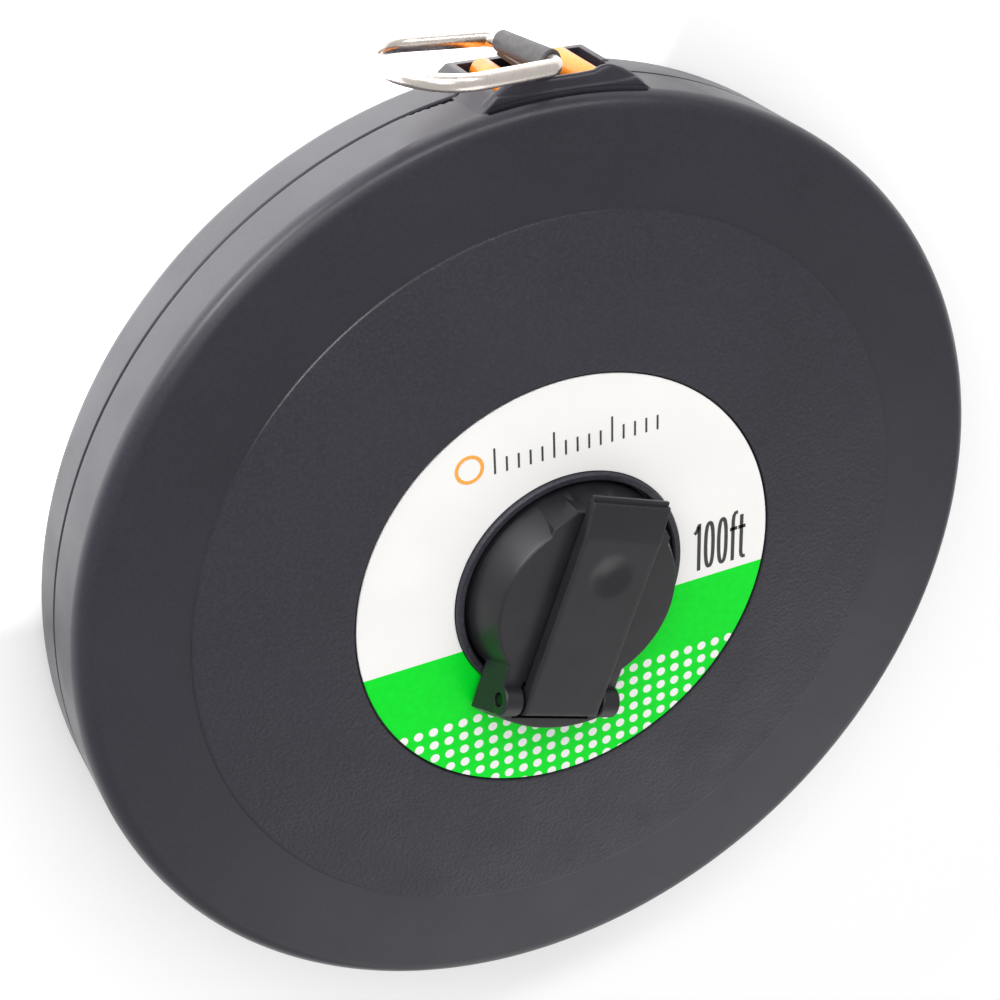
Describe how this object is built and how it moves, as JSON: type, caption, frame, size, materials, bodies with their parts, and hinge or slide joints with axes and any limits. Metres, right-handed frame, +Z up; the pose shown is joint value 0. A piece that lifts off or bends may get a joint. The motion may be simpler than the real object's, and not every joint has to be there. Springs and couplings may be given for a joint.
{
  "type": "closed reel measuring tape",
  "caption": "Round closed-case long measuring tape with a fold-out crank grip on the front, a roller mouth on the rim and a wire ring on the tape's end.",
  "frame": {"origin": "centre of the flat middle of the rear face, on the winding axis", "axes": "the tape lies on its rear face; +Z up out of the crank side along the winding axis; +Y from the winding axis to the tape mouth on the rim; +X to the right of someone who looks down at the crank with the mouth away from them"},
  "size_m": [0.1498, 0.1569, 0.0329],
  "materials": {
    "case_plastic": "charcoal black moulded plastic, satin rim and fine grained faces",
    "crank_plastic": "black moulded plastic, smooth and slightly glossy",
    "spool_plastic": "plain grey moulded plastic, hidden inside the case",
    "label_film": "printed film: white above, green with white dots below",
    "roller_plastic": "smooth orange plastic",
    "tape_blade": "yellow coated glass-fibre tape",
    "sleeve_rubber": "dark grey soft sleeve",
    "ring_steel": "bright nickel-plated wire",
    "screw_steel": "zinc-plated steel"
  },
  "bodies": {
    "case": {"front_shell": "case_plastic", "rear_shell": "case_plastic", "front_label": "label_film", "case_screw_1": "screw_steel", "case_screw_2": "screw_steel", "case_screw_3": "screw_steel", "case_screw_4": "screw_steel", "roller_pin_left": "screw_steel", "roller_pin_right": "screw_steel"},
    "reel": {"spool_hub": "spool_plastic", "spool_flange_front": "spool_plastic", "spool_flange_rear": "spool_plastic", "tape_coil": "tape_blade", "tape_anchor_pin": "screw_steel", "thrust_washer": "screw_steel", "crank_body": "crank_plastic", "crank_washer": "screw_steel", "crank_screw": "screw_steel", "grip_hinge_pin": "screw_steel"},
    "grip": {"grip_flap": "crank_plastic"},
    "roller_left": {"mouth_roller_left": "roller_plastic"},
    "roller_right": {"mouth_roller_right": "roller_plastic"},
    "tape_end": {"tape_lead": "tape_blade", "end_sleeve": "sleeve_rubber"},
    "ring": {"end_ring": "ring_steel"}
  },
  "joints": [
    {"name": "reel_spin", "type": "hinge", "parent": "case", "child": "reel", "pos_m": [0, 0, 0.0113], "axis": [0, 0, -1], "continuous": true},
    {"name": "grip_fold", "type": "hinge", "parent": "reel", "child": "grip", "pos_m": [-0.0051, -0.0158, 0.03055], "axis": [0.9516, -0.3074, 0], "range_deg": [0, 90]},
    {"name": "roller_left_spin", "type": "hinge", "parent": "case", "child": "roller_left", "pos_m": [-0.006, 0.0745, 0.0113], "axis": [0, 0, -1], "continuous": true},
    {"name": "roller_right_spin", "type": "hinge", "parent": "case", "child": "roller_right", "pos_m": [0.006, 0.0745, 0.0113], "axis": [0, 0, -1], "continuous": true},
    {"name": "tape_pull", "type": "slide", "parent": "case", "child": "tape_end", "axis": [-0.8906, 0.4548, 0], "range_m": [0, 0.015]},
    {"name": "ring_swing", "type": "hinge", "parent": "tape_end", "child": "ring", "pos_m": [-0.0034, 0.0793, 0.0134], "axis": [-0.1599, 0, -0.9871], "range_deg": [0, 165]}
  ]
}
